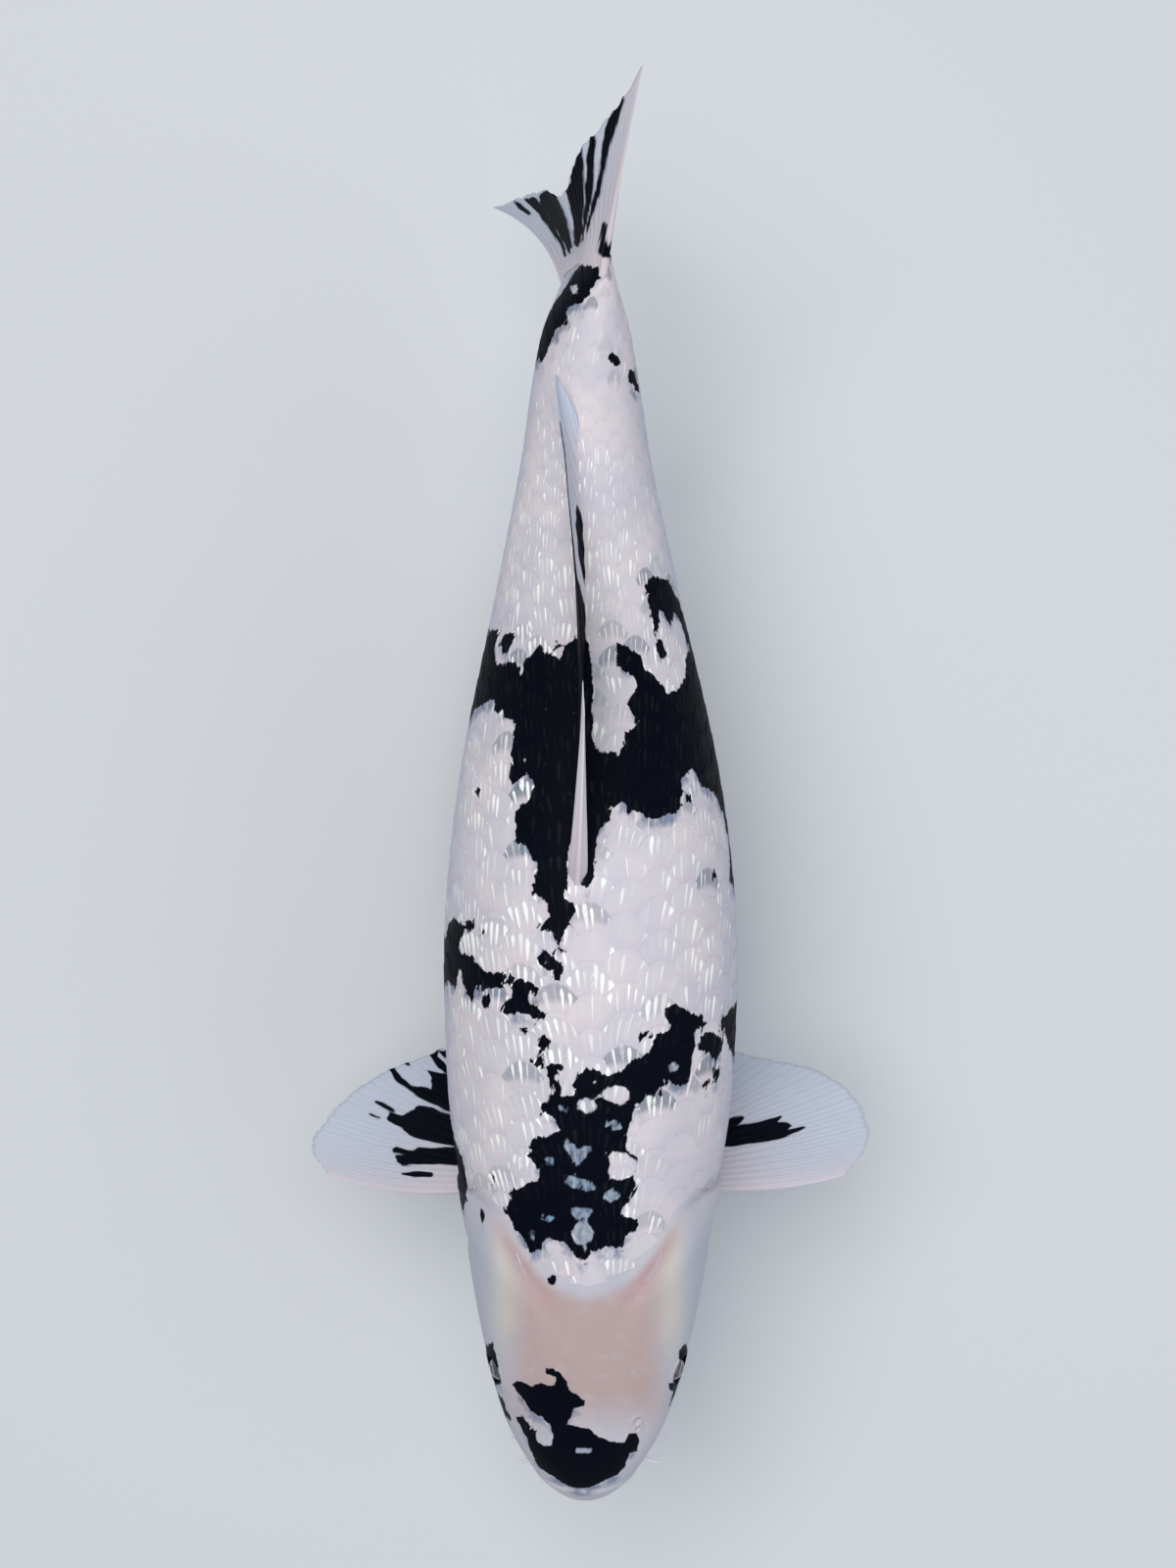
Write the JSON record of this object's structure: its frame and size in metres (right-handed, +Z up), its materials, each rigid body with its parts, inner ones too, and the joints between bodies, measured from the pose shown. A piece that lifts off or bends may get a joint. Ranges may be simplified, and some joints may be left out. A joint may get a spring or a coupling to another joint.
{
  "type": "koi carp",
  "caption": "Life-size still model of a black-and-white koi carp, swimming level on a plain display stand.",
  "frame": {"origin": "middle of the model's box, on the floor", "axes": "+Y from the snout to the tail, +X to the fish's left, +Z up"},
  "size_m": [0.2535, 0.596, 0.279],
  "materials": {
    "skin": "wet fish skin, white with black patches",
    "fin": "wet fin, pale and slightly see-through",
    "eye": "wet and glossy",
    "stand_wood": "satin dark wood",
    "stand_steel": "satin"
  },
  "bodies": {
    "root": {"head": "skin", "upper_lip": "skin", "lower_jaw": "skin", "gill_cover_left": "skin", "gill_cover_right": "skin", "trunk_front": "skin", "trunk_middle": "skin", "trunk_rear": "skin", "tail_stem": "skin", "barbel_lip_left": "skin", "barbel_lip_right": "skin", "barbel_corner_left": "skin", "barbel_corner_right": "skin", "dorsal_fin": "fin", "caudal_fin_upper": "fin", "caudal_fin_lower": "fin", "anal_fin": "fin", "pectoral_fin_left": "fin", "pectoral_fin_right": "fin", "pelvic_fin_left": "fin", "pelvic_fin_right": "fin", "eye_left": "eye", "eye_right": "eye", "stand_base": "stand_wood", "stand_rod_front": "stand_steel", "stand_rod_rear": "stand_steel"}
  },
  "joints": []
}
